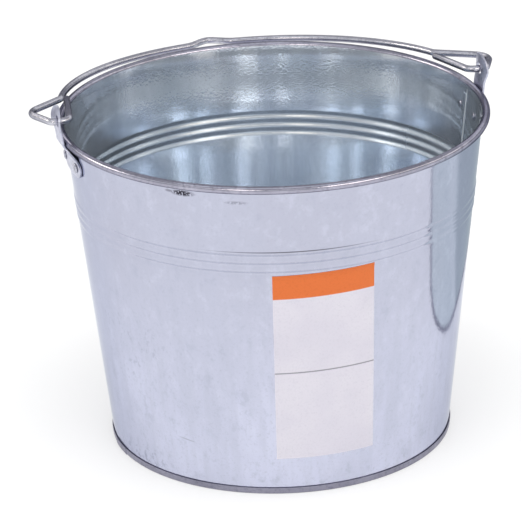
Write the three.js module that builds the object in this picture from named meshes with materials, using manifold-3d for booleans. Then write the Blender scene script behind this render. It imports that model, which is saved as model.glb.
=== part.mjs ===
// A galvanized steel pail: a tapered wall with a wired rim and three ribs, a pan let into its foot,
// two riveted ears and a round wire bail whose bent ends hang in the ears.
// Millimetres, +Z up. The origin is on the ground under the middle of the pail, the ears lie on X,
// and the bail is folded down towards +Y.
import * as THREE from "three";
import { mergeVertices } from "three/addons/utils/BufferGeometryUtils.js";
import Module from "manifold-3d";

// Overall sizes
const RIM_DIAMETER = 300;
const BASE_DIAMETER = 238.6;
const RIM_HEIGHT = 235.9;

// Sheet and wire
const SHEET = 0.6;
const RIM_WIRE_DIAMETER = 3.6;
const BAIL_WIRE_DIAMETER = 4.76;
const CLEARANCE = 0.3;
const OVERRUN = 4;

// Rim curl: how far the sheet turns round the rim wire
const CURL_SWEEP = THREE.MathUtils.degToRad(300);
const CURL_STEPS = 10;

// Ribs rolled into the wall, counted down from the middle of the rim
const RIB_COUNT = 3;
const RIB_PITCH = 6.3;
const RIB_HEIGHT = 0.5;
const RIB_DROP = 47.5;
const RIB_STEPS = 4;

// Side seam, a lap that stands a little proud inside, a little behind the middle of the right ear
const SEAM_OFFSET = 7.97;
const SEAM_WIDTH = 5;
const SEAM_RISE = 0.5;
const SEAM_TOP_DROP = 6;

// Foot: the band folded round the bottom edges of wall and pan
const BAND_HEIGHT = 4.6;
const BAND_INNER_HEIGHT = 3;
const PAN_LIFT = 4.4;
const PANEL_LIFT = 2.4;
const PANEL_RADIUS = 92;
const PANEL_STEP = 3;

// Ears: a riveted base, a neck that steps out round the rim, and a round head with a hole. The
// kick is how far the neck turns away from the wall.
const EAR_SHEET = 1.5;
const EAR_BASE_DROP = 22.8;
const EAR_BASE_HALF = 21.75;
const EAR_LOBE_RADIUS = 8;
const EAR_SHOULDER_RISE = 21;
const EAR_NECK_HALF = 9.2;
const EAR_HEAD_RADIUS = 11.2;
const EAR_HEAD_OFFSET = 0.2;
const EAR_HEAD_BLEND = 9;
const EAR_FLARE = 2.2;
const EAR_LEAN = THREE.MathUtils.degToRad(2);
const EAR_KICK = THREE.MathUtils.degToRad(26.7);
const EAR_KICK_RADIUS = 4;
const EAR_HOLE_DIAMETER = 8.6;
const HINGE_RISE = 14.1;

// Rivets, two to an ear
const RIVET_SPACING = 28;
const RIVET_DROP = 15.5;
const RIVET_SHANK_DIAMETER = 3.6;
const RIVET_HEAD_DIAMETER = 7;
const RIVET_HEAD_RISE = 1.2;
const RIVET_TAIL_DIAMETER = 5.2;
const RIVET_TAIL_RISE = 0.9;

// Bail: each end is bent into a closed loop that passes through its ear. The right loop's tip
// stands a little further out than the left one's, and its cut end is a little shorter. The bow
// follows the rim, and folded back its top lies this far below the hinge.
const BAIL_DROP = 12.94;
const BOW_INSET = 4.74;
const BOW_SHIFT = 12.64;
const BOW_OVERLAP = 1.8;
const LOOP_INSET = 7.7;
const LOOP_OUTSET = 5.2;
const LOOP_TIP_OUTSET = 17;
const LOOP_TIP_SKEW = 2;
const LOOP_TIP_REACH = 30.5;
const TAIL_INSET = 18;
const TAIL_RISE = 1;
const TAIL_REACH = 47.8;
const TAIL_REACH_SKEW = 4.2;
const LOOP_BEND_RADIUS = 7;
const AXLE_BEND_RADIUS = 4;
const TIP_BEND_RADIUS = 17;
const SHOULDER_BEND_RADIUS = 8;
const SHOULDER_STRAIGHT = 2.5;
const LEG_LEAN = THREE.MathUtils.degToRad(18.7);
const CROWN_LEAN = THREE.MathUtils.degToRad(78.4);
const HOOK_HALF = 17.4;
const HOOK_RISE = 7;

// Facets
const RIM_SEGMENTS = 64;
const WIRE_SIDES = 10;
const RIM_WIRE_SIDES = 8;
const RIVET_SEGMENTS = 12;
const HOLE_SEGMENTS = 20;
const BEND_STEP = THREE.MathUtils.degToRad(18);
const ARCH_STEPS = 9;
const HOOK_SHARES = [1, 0.85, 0.7, 0.5, 0.3, 0.15, 0];
const DOME_SHARES = [[1, 0.25], [0.8, 0.7], [0.45, 0.95], [0, 1]];
const LOBE_ROW_SHARES = [0, 0.06, 0.25, 0.6, 1];
const SHOULDER_ROW_SHARES = [0.2, 0.4, 0.6, 0.8];
const BLEND_ROW_SHARES = [1, 0.66, 0.33, 0];
const EAR_COLUMN_SHARES = [-1, -0.75, -0.5, -0.25, 0, 0.25, 0.5, 0.75, 1];
const HEAD_ROW_ANGLES = [20, 40, 58, 72, 84].map(THREE.MathUtils.degToRad);

// Sizes that follow
const beadRadius = RIM_WIRE_DIAMETER / 2 + CLEARANCE + SHEET;
const curlRadius = beadRadius - SHEET / 2;
const beadAt = new THREE.Vector2(RIM_DIAMETER / 2 - beadRadius, RIM_HEIGHT - beadRadius);
const baseMiddle = BASE_DIAMETER / 2 - SHEET / 2;
const towardsBead = new THREE.Vector2(beadAt.x - baseMiddle, beadAt.y);
const taper = Math.atan2(towardsBead.x, towardsBead.y) - Math.asin(curlRadius / towardsBead.length());
const footEdge = SHEET + CLEARANCE;

// The ear's inner face keeps this far from the middle of the bead and leaves it leaning outwards
const earWrap = beadRadius + CLEARANCE;
const leanAway = new THREE.Vector2(Math.cos(EAR_LEAN), -Math.sin(EAR_LEAN));
const earLeaves = leanAway.multiplyScalar(earWrap).add(beadAt);
const earInner = (z) => earLeaves.x + (z - earLeaves.y) * Math.tan(EAR_LEAN);
const hingeHeight = beadAt.y + HINGE_RISE;
const hinge = new THREE.Vector3(earInner(hingeHeight) + EAR_SHEET / 2, 0, hingeHeight);

// Each half of the bow is an arc a little smaller than the rim, its centre just past the middle
const bowRadius = RIM_DIAMETER / 2 - BOW_INSET;
const bowDrop = Math.asin(BAIL_DROP / (BOW_SHIFT + bowRadius));
const bowAt = (lean) => {
  const spoke = new THREE.Vector3(Math.cos(lean), Math.sin(lean), 0).multiplyScalar(bowRadius);
  return spoke.add(new THREE.Vector3(-BOW_OVERLAP, BOW_SHIFT, 0));
};

// Radius of the middle of the wall sheet at a height, leaving out the ribs
const wallMiddle = (z) => baseMiddle + z * Math.tan(taper);
const wallOuter = (z) => wallMiddle(z) + SHEET / 2;
const wallInner = (z) => wallMiddle(z) - SHEET / 2;

const wasm = await Module();
wasm.setup();

const galvanized = new THREE.MeshStandardMaterial({ color: 0xb9bcc9, roughness: 0.45, metalness: 0.75 });
const footSteel = new THREE.MeshStandardMaterial({ color: 0x8b8996, roughness: 0.5, metalness: 0.75 });
const wireSteel = new THREE.MeshStandardMaterial({ color: 0xa3a2ad, roughness: 0.35, metalness: 0.85 });

// A closed mesh as a solid that can be joined and cut
function toSolid(geometry) {
  const bare = geometry.clone();
  bare.deleteAttribute("normal");
  bare.deleteAttribute("uv");
  const merged = mergeVertices(bare);
  return new wasm.Manifold(
    new wasm.Mesh({
      numProp: 3,
      vertProperties: new Float32Array(merged.attributes.position.array),
      triVerts: new Uint32Array(merged.index.array),
    }),
  );
}

function toGeometry(solid) {
  const mesh = solid.getMesh();
  const geometry = new THREE.BufferGeometry();
  geometry.setAttribute("position", new THREE.BufferAttribute(mesh.vertProperties, 3));
  geometry.setIndex(new THREE.BufferAttribute(mesh.triVerts, 1));
  geometry.computeVertexNormals();
  return geometry;
}

// Turns an outline of (radius, height) points round the Z axis
function revolve(outline, segments = RIM_SEGMENTS) {
  const points = THREE.ShapeUtils.area(outline) < 0 ? [...outline].reverse() : outline;
  const onAxis = points[0].x === 0;
  const profile = onAxis ? points : [...points, points[0]];
  return new THREE.LatheGeometry(profile, segments).rotateX(Math.PI / 2);
}

// Outline of a bent sheet: its middle line offset to both sides, with mitred corners
function sheetOutline(middle, thickness) {
  const normals = middle.slice(1).map((point, i) => {
    const along = point.clone().sub(middle[i]).normalize();
    return new THREE.Vector2(-along.y, along.x);
  });
  const side = (sign) =>
    middle.map((point, i) => {
      const before = normals[Math.max(i - 1, 0)];
      const after = normals[Math.min(i, normals.length - 1)];
      const mitre = before.clone().add(after).normalize();
      const reach = (sign * thickness) / 2 / mitre.dot(after);
      return point.clone().addScaledVector(mitre, reach);
    });
  return [...side(1), ...side(-1).reverse()];
}

// A line through corners, each rounded with its own radius. The ends have no radius.
function roundedPath(corners) {
  const path = [corners[0].at.clone()];
  for (let i = 1; i < corners.length - 1; i += 1) {
    const { at, radius } = corners[i];
    const into = at.clone().sub(corners[i - 1].at).normalize();
    const out = corners[i + 1].at.clone().sub(at).normalize();
    const turn = Math.acos(THREE.MathUtils.clamp(into.dot(out), -1, 1));
    const setback = radius * Math.tan(turn / 2);
    const start = at.clone().addScaledVector(into, -setback);
    const inward = out.clone().addScaledVector(into, -into.dot(out)).normalize();
    const centre = start.clone().addScaledVector(inward, radius);
    const steps = Math.max(2, Math.ceil(turn / BEND_STEP));
    for (let k = 0; k <= steps; k += 1) {
      const angle = (turn * k) / steps;
      const point = centre.clone().addScaledVector(into, radius * Math.sin(angle));
      path.push(point.addScaledVector(inward, -radius * Math.cos(angle)));
    }
  }
  path.push(corners[corners.length - 1].at.clone());
  return path;
}

// A closed solid between two grids of points with the same rows and columns
function loft(rows) {
  const columns = rows[0].length;
  const layer = rows.length * columns;
  const positions = [];
  for (const side of ["inner", "outer"]) {
    for (const row of rows) {
      row.forEach((station) => positions.push(...station[side].toArray()));
    }
  }
  const index = [];
  const quad = (a, b, c, d) => index.push(a, b, c, a, c, d);
  const id = (side, r, c) => side * layer + r * columns + c;
  const last = { row: rows.length - 1, column: columns - 1 };
  for (let r = 0; r < last.row; r += 1) {
    for (let c = 0; c < last.column; c += 1) {
      quad(id(0, r, c), id(0, r + 1, c), id(0, r + 1, c + 1), id(0, r, c + 1));
      quad(id(1, r, c), id(1, r, c + 1), id(1, r + 1, c + 1), id(1, r + 1, c));
    }
    quad(id(0, r, 0), id(1, r, 0), id(1, r + 1, 0), id(0, r + 1, 0));
    quad(id(0, r, last.column), id(0, r + 1, last.column), id(1, r + 1, last.column), id(1, r, last.column));
  }
  for (let c = 0; c < last.column; c += 1) {
    quad(id(0, 0, c), id(0, 0, c + 1), id(1, 0, c + 1), id(1, 0, c));
    quad(id(0, last.row, c), id(1, last.row, c), id(1, last.row, c + 1), id(0, last.row, c + 1));
  }
  const geometry = new THREE.BufferGeometry();
  geometry.setAttribute("position", new THREE.Float32BufferAttribute(positions, 3));
  geometry.setIndex(index);
  return geometry;
}

// Middle line of the wall sheet from the foot up through the ribs and round the rim wire
function wallPath() {
  const path = [new THREE.Vector2(wallMiddle(footEdge), footEdge)];
  const ribTop = beadAt.y - RIB_DROP;
  const ribBottom = ribTop - RIB_COUNT * RIB_PITCH;
  const steps = RIB_COUNT * RIB_STEPS;
  for (let i = 0; i <= steps; i += 1) {
    const z = ribBottom + ((ribTop - ribBottom) * i) / steps;
    const swell = (1 - Math.cos((2 * Math.PI * i) / RIB_STEPS)) / 2;
    path.push(new THREE.Vector2(wallMiddle(z) + RIB_HEIGHT * swell, z));
  }
  for (let i = 0; i <= CURL_STEPS; i += 1) {
    const angle = Math.PI - taper - (CURL_SWEEP * i) / CURL_STEPS;
    const spoke = new THREE.Vector2(Math.cos(angle), Math.sin(angle));
    path.push(spoke.multiplyScalar(curlRadius).add(beadAt));
  }
  return path;
}

// Strip of double sheet along the inside of the wall
function seamStrip(path) {
  const top = beadAt.y - SEAM_TOP_DROP;
  const bottom = PAN_LIFT + SHEET + CLEARANCE;
  const seam = Math.PI / 2 + SEAM_OFFSET / beadAt.x;
  const rising = path.filter((point) => point.y > bottom && point.y < top);
  const line = [
    new THREE.Vector2(wallMiddle(bottom), bottom),
    ...rising,
    new THREE.Vector2(wallMiddle(top), top),
  ];
  return loft(
    line.map(({ x: radius, y: z }) =>
      [-1, 0, 1].map((side) => {
        const azimuth = seam - (side * SEAM_WIDTH) / 2 / radius;
        const spoke = new THREE.Vector3(Math.sin(azimuth), -Math.cos(azimuth), 0);
        const lift = new THREE.Vector3(0, 0, z);
        return {
          inner: spoke.clone().multiplyScalar(radius - SHEET / 2 - SEAM_RISE).add(lift),
          outer: spoke.clone().multiplyScalar(radius).add(lift),
        };
      }),
    ),
  );
}

// Where a rivet crosses the wall: a point on the outer face and the direction square to it
function rivetSeat(side, across) {
  const z = beadAt.y - RIVET_DROP;
  const radius = wallOuter(z);
  const angle = (across * RIVET_SPACING) / 2 / radius;
  const out = new THREE.Vector3(side * Math.cos(angle), Math.sin(angle), 0);
  const normal = out.clone().multiplyScalar(Math.cos(taper)).setZ(-Math.sin(taper));
  return { at: out.multiplyScalar(radius).setZ(z), normal };
}

const rivetPlaces = [];
for (const [sideName, side] of [["right", 1], ["left", -1]]) {
  for (const [acrossName, across] of [["front", -1], ["back", 1]]) {
    rivetPlaces.push({ name: `rivet_${sideName}_${acrossName}`, side, ...rivetSeat(side, across) });
  }
}

// Cutter for a rivet hole, long enough for wall and ear
function rivetHole({ at, normal }) {
  const length = SHEET + EAR_SHEET + 2 * OVERRUN;
  const radius = RIVET_SHANK_DIAMETER / 2 + CLEARANCE;
  const turn = new THREE.Quaternion().setFromUnitVectors(new THREE.Vector3(0, 1, 0), normal);
  const cutter = new THREE.CylinderGeometry(radius, radius, length, RIVET_SEGMENTS);
  return toSolid(cutter.applyQuaternion(turn).translate(...at));
}

function makeWall() {
  const path = wallPath();
  const shell = toSolid(revolve(sheetOutline(path, SHEET)));
  const seamed = shell.add(toSolid(seamStrip(path)));
  const pierced = rivetPlaces.reduce((wall, place) => wall.subtract(rivetHole(place)), seamed);
  return toGeometry(pierced);
}

function makeRimWire() {
  const radius = RIM_WIRE_DIAMETER / 2;
  const section = Array.from({ length: RIM_WIRE_SIDES }, (_, i) => {
    const angle = (2 * Math.PI * i) / RIM_WIRE_SIDES;
    return new THREE.Vector2(Math.cos(angle), Math.sin(angle)).multiplyScalar(radius).add(beadAt);
  });
  return revolve(section);
}

// Radius of the middle of the pan's turned-down flange, which lies against the wall
const flangeMiddle = (z) => wallInner(z) - CLEARANCE - SHEET / 2;

// The pan: a flat panel pressed down in the middle, a raised border and a flange
function makePan() {
  const panel = PANEL_LIFT + SHEET / 2;
  const border = PAN_LIFT + SHEET / 2;
  const middle = [
    new THREE.Vector2(0, panel),
    new THREE.Vector2(PANEL_RADIUS, panel),
    new THREE.Vector2(PANEL_RADIUS + PANEL_STEP, border),
    new THREE.Vector2(flangeMiddle(border), border),
    new THREE.Vector2(flangeMiddle(footEdge), footEdge),
  ];
  return revolve(sheetOutline(middle, SHEET));
}

// The foot band: a U of sheet that takes in the bottom edges of the wall and the flange
function makeBand() {
  const outerLeg = (z) => wallOuter(z) + CLEARANCE + SHEET / 2;
  const innerLeg = (z) => flangeMiddle(z) - SHEET / 2 - CLEARANCE - SHEET / 2;
  const middle = [
    new THREE.Vector2(outerLeg(BAND_HEIGHT), BAND_HEIGHT),
    new THREE.Vector2(outerLeg(SHEET / 2), SHEET / 2),
    new THREE.Vector2(innerLeg(SHEET / 2), SHEET / 2),
    new THREE.Vector2(innerLeg(BAND_INNER_HEIGHT), BAND_INNER_HEIGHT),
  ];
  return revolve(sheetOutline(middle, SHEET));
}

// Inner face of an ear seen from the side, as (radius, height): along the wall, out round the
// rim and up past the hinge
function earPath() {
  const foot = beadAt.y - EAR_BASE_DROP;
  const kickLean = taper + EAR_KICK;
  const touch = new THREE.Vector2(Math.cos(kickLean), -Math.sin(kickLean))
    .multiplyScalar(earWrap)
    .add(beadAt);
  const kick = new THREE.Vector2(Math.sin(kickLean), Math.cos(kickLean));
  const gap = touch.x - wallOuter(touch.y) - CLEARANCE;
  const toWall = gap / (kick.x - kick.y * Math.tan(taper));
  const toHead = earWrap * Math.tan((kickLean - EAR_LEAN) / 2);
  const top = hinge.z + EAR_HEAD_OFFSET + EAR_HEAD_RADIUS;
  return roundedPath([
    { at: new THREE.Vector2(wallOuter(foot) + CLEARANCE, foot) },
    { at: touch.clone().addScaledVector(kick, -toWall), radius: EAR_KICK_RADIUS },
    { at: touch.clone().addScaledVector(kick, toHead), radius: earWrap },
    { at: new THREE.Vector2(earInner(top), top) },
  ]);
}

// Half the width of an ear at a height above its foot
function earHalfWidth(rise, headCentre) {
  if (rise > headCentre) {
    const up = Math.min(rise - headCentre, EAR_HEAD_RADIUS);
    return Math.sqrt(EAR_HEAD_RADIUS ** 2 - up ** 2);
  }
  const corner = Math.max(EAR_LOBE_RADIUS - rise, 0);
  const base = EAR_BASE_HALF - EAR_LOBE_RADIUS + Math.sqrt(EAR_LOBE_RADIUS ** 2 - corner ** 2);
  const narrowing = THREE.MathUtils.smoothstep(rise, EAR_LOBE_RADIUS, EAR_SHOULDER_RISE);
  const widening = THREE.MathUtils.smoothstep(rise, headCentre - EAR_HEAD_BLEND, headCentre);
  const neck = EAR_NECK_HALF + (EAR_HEAD_RADIUS - EAR_NECK_HALF) * widening;
  return THREE.MathUtils.lerp(base, neck, narrowing);
}

function makeEar(side) {
  const path = earPath();
  const foot = path[0].y;
  const headCentre = hinge.z + EAR_HEAD_OFFSET - foot;
  const kickStart = path[1].y - foot;
  const kickEnd = beadAt.y - foot;
  const lobeRows = LOBE_ROW_SHARES.map((share) => share * EAR_LOBE_RADIUS);
  const shoulderRows = SHOULDER_ROW_SHARES.map((share) =>
    THREE.MathUtils.lerp(EAR_LOBE_RADIUS, EAR_SHOULDER_RISE, share),
  );
  const bendRows = path.slice(1, -1).map((point) => point.y - foot);
  const blendRows = BLEND_ROW_SHARES.map((share) => headCentre - share * EAR_HEAD_BLEND);
  const headRows = HEAD_ROW_ANGLES.map((angle) => headCentre + EAR_HEAD_RADIUS * Math.sin(angle));
  const rises = [...lobeRows, ...shoulderRows, ...bendRows, ...blendRows, ...headRows].sort((a, b) => a - b);
  const at = (rise) => {
    const z = foot + rise;
    const i = Math.max(1, path.findIndex((point) => point.y >= z));
    const along = path[i].clone().sub(path[i - 1]);
    const point = path[i - 1].clone().addScaledVector(along, (z - path[i - 1].y) / along.y);
    along.normalize();
    return { point, normal: new THREE.Vector2(along.y, -along.x) };
  };
  const rows = rises.map((rise) => {
    const { point, normal } = at(rise);
    const half = earHalfWidth(rise, headCentre);
    const free = THREE.MathUtils.smoothstep(rise, kickStart, kickEnd);
    const flare = EAR_FLARE * THREE.MathUtils.smoothstep(rise, kickEnd, headCentre);
    const station = (share, offset) => {
      const y = share * half;
      const radius = point.x + normal.x * offset;
      const hugging = Math.sqrt(radius ** 2 - y ** 2);
      const flared = radius + flare * (y / EAR_HEAD_RADIUS) ** 2;
      const x = THREE.MathUtils.lerp(hugging, flared, free);
      return new THREE.Vector3(x, y, point.y + normal.y * offset);
    };
    return EAR_COLUMN_SHARES.map((share) => {
      return { inner: station(share, 0), outer: station(share, EAR_SHEET) };
    });
  });
  const holeRadius = EAR_HOLE_DIAMETER / 2;
  const hole = new THREE.CylinderGeometry(holeRadius, holeRadius, EAR_SHEET + 2 * OVERRUN, HOLE_SEGMENTS)
    .rotateZ(Math.PI / 2)
    .translate(...hinge);
  const rightHoles = rivetPlaces.filter((place) => place.side > 0).map(rivetHole);
  const cutters = [toSolid(hole), ...rightHoles];
  const ear = cutters.reduce((plate, cutter) => plate.subtract(cutter), toSolid(loft(rows)));
  const geometry = toGeometry(ear);
  return side > 0 ? geometry : geometry.rotateZ(Math.PI);
}

// A rivet about its own Z axis, from the outer face of the wall: tail inside, head outside the ear
function makeRivet() {
  const shank = RIVET_SHANK_DIAMETER / 2;
  const head = RIVET_HEAD_DIAMETER / 2;
  const tail = RIVET_TAIL_DIAMETER / 2;
  const tailSeat = -SHEET - CLEARANCE;
  const headSeat = CLEARANCE + EAR_SHEET + CLEARANCE;
  const dome = (radius, seat, rise) =>
    DOME_SHARES.map(([out, up]) => new THREE.Vector2(radius * out, seat + rise * up));
  const outline = [
    ...dome(tail, tailSeat, -RIVET_TAIL_RISE).reverse(),
    new THREE.Vector2(tail, tailSeat),
    new THREE.Vector2(shank, tailSeat),
    new THREE.Vector2(shank, headSeat),
    new THREE.Vector2(head, headSeat),
    ...dome(head, headSeat, RIVET_HEAD_RISE),
  ];
  return revolve(outline, RIVET_SEGMENTS);
}

// A wire path made of points: the steps along it are the points themselves, close in the bends
class WirePath extends THREE.Curve {
  constructor(points) {
    super();
    this.points = points;
  }
  getPoint(t, target = new THREE.Vector3()) {
    const along = t * (this.points.length - 1);
    const i = Math.min(Math.floor(along), this.points.length - 2);
    return target.lerpVectors(this.points[i], this.points[i + 1], along - i);
  }
  getPointAt(t, target) {
    return this.getPoint(t, target);
  }
  getTangentAt(t, target = new THREE.Vector3()) {
    const i = Math.round(t * (this.points.length - 1));
    const before = this.points[Math.max(i - 1, 0)];
    const after = this.points[Math.min(i + 1, this.points.length - 1)];
    const into = this.points[i].clone().sub(before).normalize();
    const out = after.clone().sub(this.points[i]).normalize();
    return target.addVectors(into, out).normalize();
  }
}

// One half of the bail in its own plane: X across, Y away from the hinge, Z up when it is folded
// back. From the cut end, through the ear and up the side to the middle.
function bailHalf(tipOutset, tailReach) {
  const corner = (x, y, radius) => ({ at: new THREE.Vector3(x, y, 0), radius });
  const cutEnd = new THREE.Vector3(hinge.x - TAIL_INSET, tailReach, TAIL_RISE);
  const leg = new THREE.Vector3(-Math.sin(LEG_LEAN), Math.cos(LEG_LEAN), 0);
  const start = bowAt(LEG_LEAN);
  const shoulder = start.clone().addScaledVector(leg, -SHOULDER_STRAIGHT);
  const points = roundedPath([
    { at: cutEnd },
    corner(hinge.x - LOOP_INSET, 0, LOOP_BEND_RADIUS),
    corner(hinge.x + LOOP_OUTSET, 0, AXLE_BEND_RADIUS),
    corner(hinge.x + tipOutset, LOOP_TIP_REACH, TIP_BEND_RADIUS),
    { at: shoulder, radius: SHOULDER_BEND_RADIUS },
    { at: start },
  ]);
  for (let i = 1; i <= ARCH_STEPS; i += 1) {
    points.push(bowAt(THREE.MathUtils.lerp(LEG_LEAN, CROWN_LEAN, i / ARCH_STEPS)));
  }
  const crown = points[points.length - 1];
  for (const share of HOOK_SHARES) {
    const x = share * HOOK_HALF;
    const hook = (HOOK_RISE * (1 + Math.cos(Math.PI * share))) / 2;
    points.push(new THREE.Vector3(x, crown.y + (crown.x - x) / Math.tan(CROWN_LEAN) + hook, 0));
  }
  return points;
}

function makeBail() {
  const right = bailHalf(LOOP_TIP_OUTSET + LOOP_TIP_SKEW, TAIL_REACH - TAIL_REACH_SKEW);
  const left = bailHalf(LOOP_TIP_OUTSET - LOOP_TIP_SKEW, TAIL_REACH + TAIL_REACH_SKEW)
    .slice(0, -1)
    .reverse()
    .map(({ x, y, z }) => new THREE.Vector3(-x, y, z));
  const path = new WirePath([...right, ...left]);
  const section = new THREE.Shape().absarc(0, 0, BAIL_WIRE_DIAMETER / 2, 0, 2 * Math.PI);
  return new THREE.ExtrudeGeometry(section, {
    extrudePath: path,
    steps: path.points.length - 1,
    curveSegments: WIRE_SIDES / 2,
  });
}

function part(name, geometry, material) {
  const mesh = new THREE.Mesh(geometry, material);
  mesh.name = name;
  return mesh;
}

const pail = new THREE.Group();
pail.add(part("pail_wall", makeWall(), galvanized));
pail.add(part("rim_wire", makeRimWire(), wireSteel));
pail.add(part("bottom_pan", makePan(), galvanized));
pail.add(part("foot_band", makeBand(), footSteel));
pail.add(part("ear_right", makeEar(1), galvanized));
pail.add(part("ear_left", makeEar(-1), galvanized));
for (const { name, at, normal } of rivetPlaces) {
  const rivet = part(name, makeRivet(), galvanized);
  rivet.position.copy(at);
  rivet.quaternion.setFromUnitVectors(new THREE.Vector3(0, 0, 1), normal);
  pail.add(rivet);
}

const bailPivot = new THREE.Group();
bailPivot.position.set(0, 0, hinge.z);
bailPivot.rotation.x = -bowDrop;
bailPivot.add(part("bail", makeBail(), wireSteel));
pail.add(bailPivot);

export default pail;
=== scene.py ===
from math import acos, asin, atan2, ceil, cos, hypot, pi, radians, sin, sqrt, tan

import bpy
from mathutils import Matrix, Quaternion, Vector


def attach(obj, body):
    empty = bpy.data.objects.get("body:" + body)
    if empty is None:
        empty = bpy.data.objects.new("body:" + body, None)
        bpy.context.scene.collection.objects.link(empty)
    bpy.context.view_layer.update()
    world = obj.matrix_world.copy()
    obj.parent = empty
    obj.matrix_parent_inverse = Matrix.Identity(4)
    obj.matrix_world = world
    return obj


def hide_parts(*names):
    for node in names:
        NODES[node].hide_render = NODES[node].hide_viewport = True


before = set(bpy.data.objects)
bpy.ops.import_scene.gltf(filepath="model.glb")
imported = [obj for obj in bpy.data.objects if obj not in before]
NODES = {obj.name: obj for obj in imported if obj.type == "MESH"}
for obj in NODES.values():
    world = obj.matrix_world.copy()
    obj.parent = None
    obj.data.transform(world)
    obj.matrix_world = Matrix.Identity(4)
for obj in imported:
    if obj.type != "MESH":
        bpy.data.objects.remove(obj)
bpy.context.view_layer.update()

# A galvanized steel pail with a folded wire bail. Lengths are written in millimetres, as on a
# drawing, and MM turns them into Blender's metres. The ears lie on X and the bail folds towards +Y.
MM = 0.001

# Sizes of the pail, as in the part's own source
RIM_RADIUS = 150.0
BASE_RADIUS = 119.3
RIM_HEIGHT = 235.9
SHEET = 0.6
GAP = 0.3
RIM_WIRE_RADIUS = 1.8
BAIL_WIRE_RADIUS = 2.38

CURL_SWEEP = radians(300)
RIB_COUNT = 3
RIB_PITCH = 6.3
RIB_HEIGHT = 0.5
RIB_DROP = 47.5
SEAM_OFFSET = 7.97
SEAM_WIDTH = 5.0
SEAM_RISE = 0.5
SEAM_TOP_DROP = 6.0

BAND_HEIGHT = 4.6
BAND_INNER_HEIGHT = 3.0
PAN_LIFT = 4.4
PANEL_LIFT = 2.4
PANEL_RADIUS = 92.0
PANEL_STEP = 3.0

EAR_SHEET = 1.5
EAR_BASE_DROP = 22.8
EAR_BASE_HALF = 21.75
EAR_LOBE_RADIUS = 8.0
EAR_SHOULDER_RISE = 21.0
EAR_NECK_HALF = 9.2
EAR_HEAD_RADIUS = 11.2
EAR_HEAD_OFFSET = 0.2
EAR_HEAD_BLEND = 9.0
EAR_FLARE = 2.2
EAR_LEAN = radians(2)
EAR_KICK = radians(26.7)
EAR_KICK_RADIUS = 4.0
EAR_HOLE_RADIUS = 4.3
HINGE_RISE = 14.1

RIVET_SPACING = 28.0
RIVET_DROP = 15.5
RIVET_SHANK_RADIUS = 1.8
RIVET_HEAD_RADIUS = 3.5
RIVET_HEAD_RISE = 1.2
RIVET_TAIL_RADIUS = 2.6
RIVET_TAIL_RISE = 0.9

BAIL_DROP = 12.94
BOW_INSET = 4.74
BOW_SHIFT = 12.64
BOW_OVERLAP = 1.8
LOOP_INSET = 7.7
LOOP_OUTSET = 5.2
LOOP_TIP_OUTSET = 17.0
LOOP_TIP_SKEW = 2.0
LOOP_TIP_REACH = 30.5
TAIL_INSET = 18.0
TAIL_RISE = 1.0
TAIL_REACH = 47.8
TAIL_REACH_SKEW = 4.2
LOOP_BEND_RADIUS = 7.0
AXLE_BEND_RADIUS = 4.0
TIP_BEND_RADIUS = 17.0
SHOULDER_BEND_RADIUS = 8.0
SHOULDER_STRAIGHT = 2.5
LEG_LEAN = radians(18.7)
CROWN_LEAN = radians(78.4)
HOOK_HALF = 17.4
HOOK_RISE = 7.0

# Sizes that follow
BEAD_RADIUS = RIM_WIRE_RADIUS + GAP + SHEET
CURL_RADIUS = BEAD_RADIUS - SHEET / 2
BEAD = Vector((RIM_RADIUS - BEAD_RADIUS, RIM_HEIGHT - BEAD_RADIUS))
BASE_MIDDLE = BASE_RADIUS - SHEET / 2
TO_BEAD = Vector((BEAD.x - BASE_MIDDLE, BEAD.y))
TAPER = atan2(TO_BEAD.x, TO_BEAD.y) - asin(CURL_RADIUS / TO_BEAD.length)
FOOT_EDGE = SHEET + GAP
RIB_TOP = BEAD.y - RIB_DROP
RIB_BOTTOM = RIB_TOP - RIB_COUNT * RIB_PITCH

EAR_WRAP = BEAD_RADIUS + GAP
EAR_LEAVES = BEAD + EAR_WRAP * Vector((cos(EAR_LEAN), -sin(EAR_LEAN)))
HINGE_HEIGHT = BEAD.y + HINGE_RISE


def ear_inner(z):
    return EAR_LEAVES.x + (z - EAR_LEAVES.y) * tan(EAR_LEAN)


HINGE = Vector((ear_inner(HINGE_HEIGHT) + EAR_SHEET / 2, 0, HINGE_HEIGHT))


def wall_middle(z):
    return BASE_MIDDLE + z * tan(TAPER)


def wall_outer(z):
    return wall_middle(z) + SHEET / 2


def wall_inner(z):
    return wall_middle(z) - SHEET / 2


def rib_swell(z):
    """How far the ribs push the wall out at a height."""
    if not RIB_BOTTOM < z < RIB_TOP:
        return 0.0
    return RIB_HEIGHT * (1 - cos(2 * pi * (z - RIB_BOTTOM) / RIB_PITCH)) / 2


def smooth(low, high, value):
    """0 below low and 1 above high, with a smooth step between."""
    t = min(max((value - low) / (high - low), 0.0), 1.0)
    return t * t * (3 - 2 * t)


def mix(a, b, share):
    return a + (b - a) * share


# ---- camera ----
PHOTO_LONG_SIDE = 528
FOCAL_PIXELS = 3649.384
SENSOR = 36.0

# Where the photograph was taken from, in metres, as its rim and foot show
CAMERA_AT = (-0.66331072, -2.27867645, 1.09203728)
CAMERA_TURN = (0.82039781, 0.55309954, -0.06915671, -0.12745857)

camera = bpy.data.objects.new("camera", bpy.data.cameras.new("camera"))
bpy.context.scene.collection.objects.link(camera)
camera.data.sensor_width = SENSOR
camera.data.lens = FOCAL_PIXELS / PHOTO_LONG_SIDE * SENSOR
camera.data.clip_end = 50
camera.location = CAMERA_AT
camera.rotation_mode = "QUATERNION"
camera.rotation_quaternion = Quaternion(CAMERA_TURN)
bpy.context.scene.camera = camera
bpy.context.scene.view_settings.view_transform = "Standard"


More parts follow.
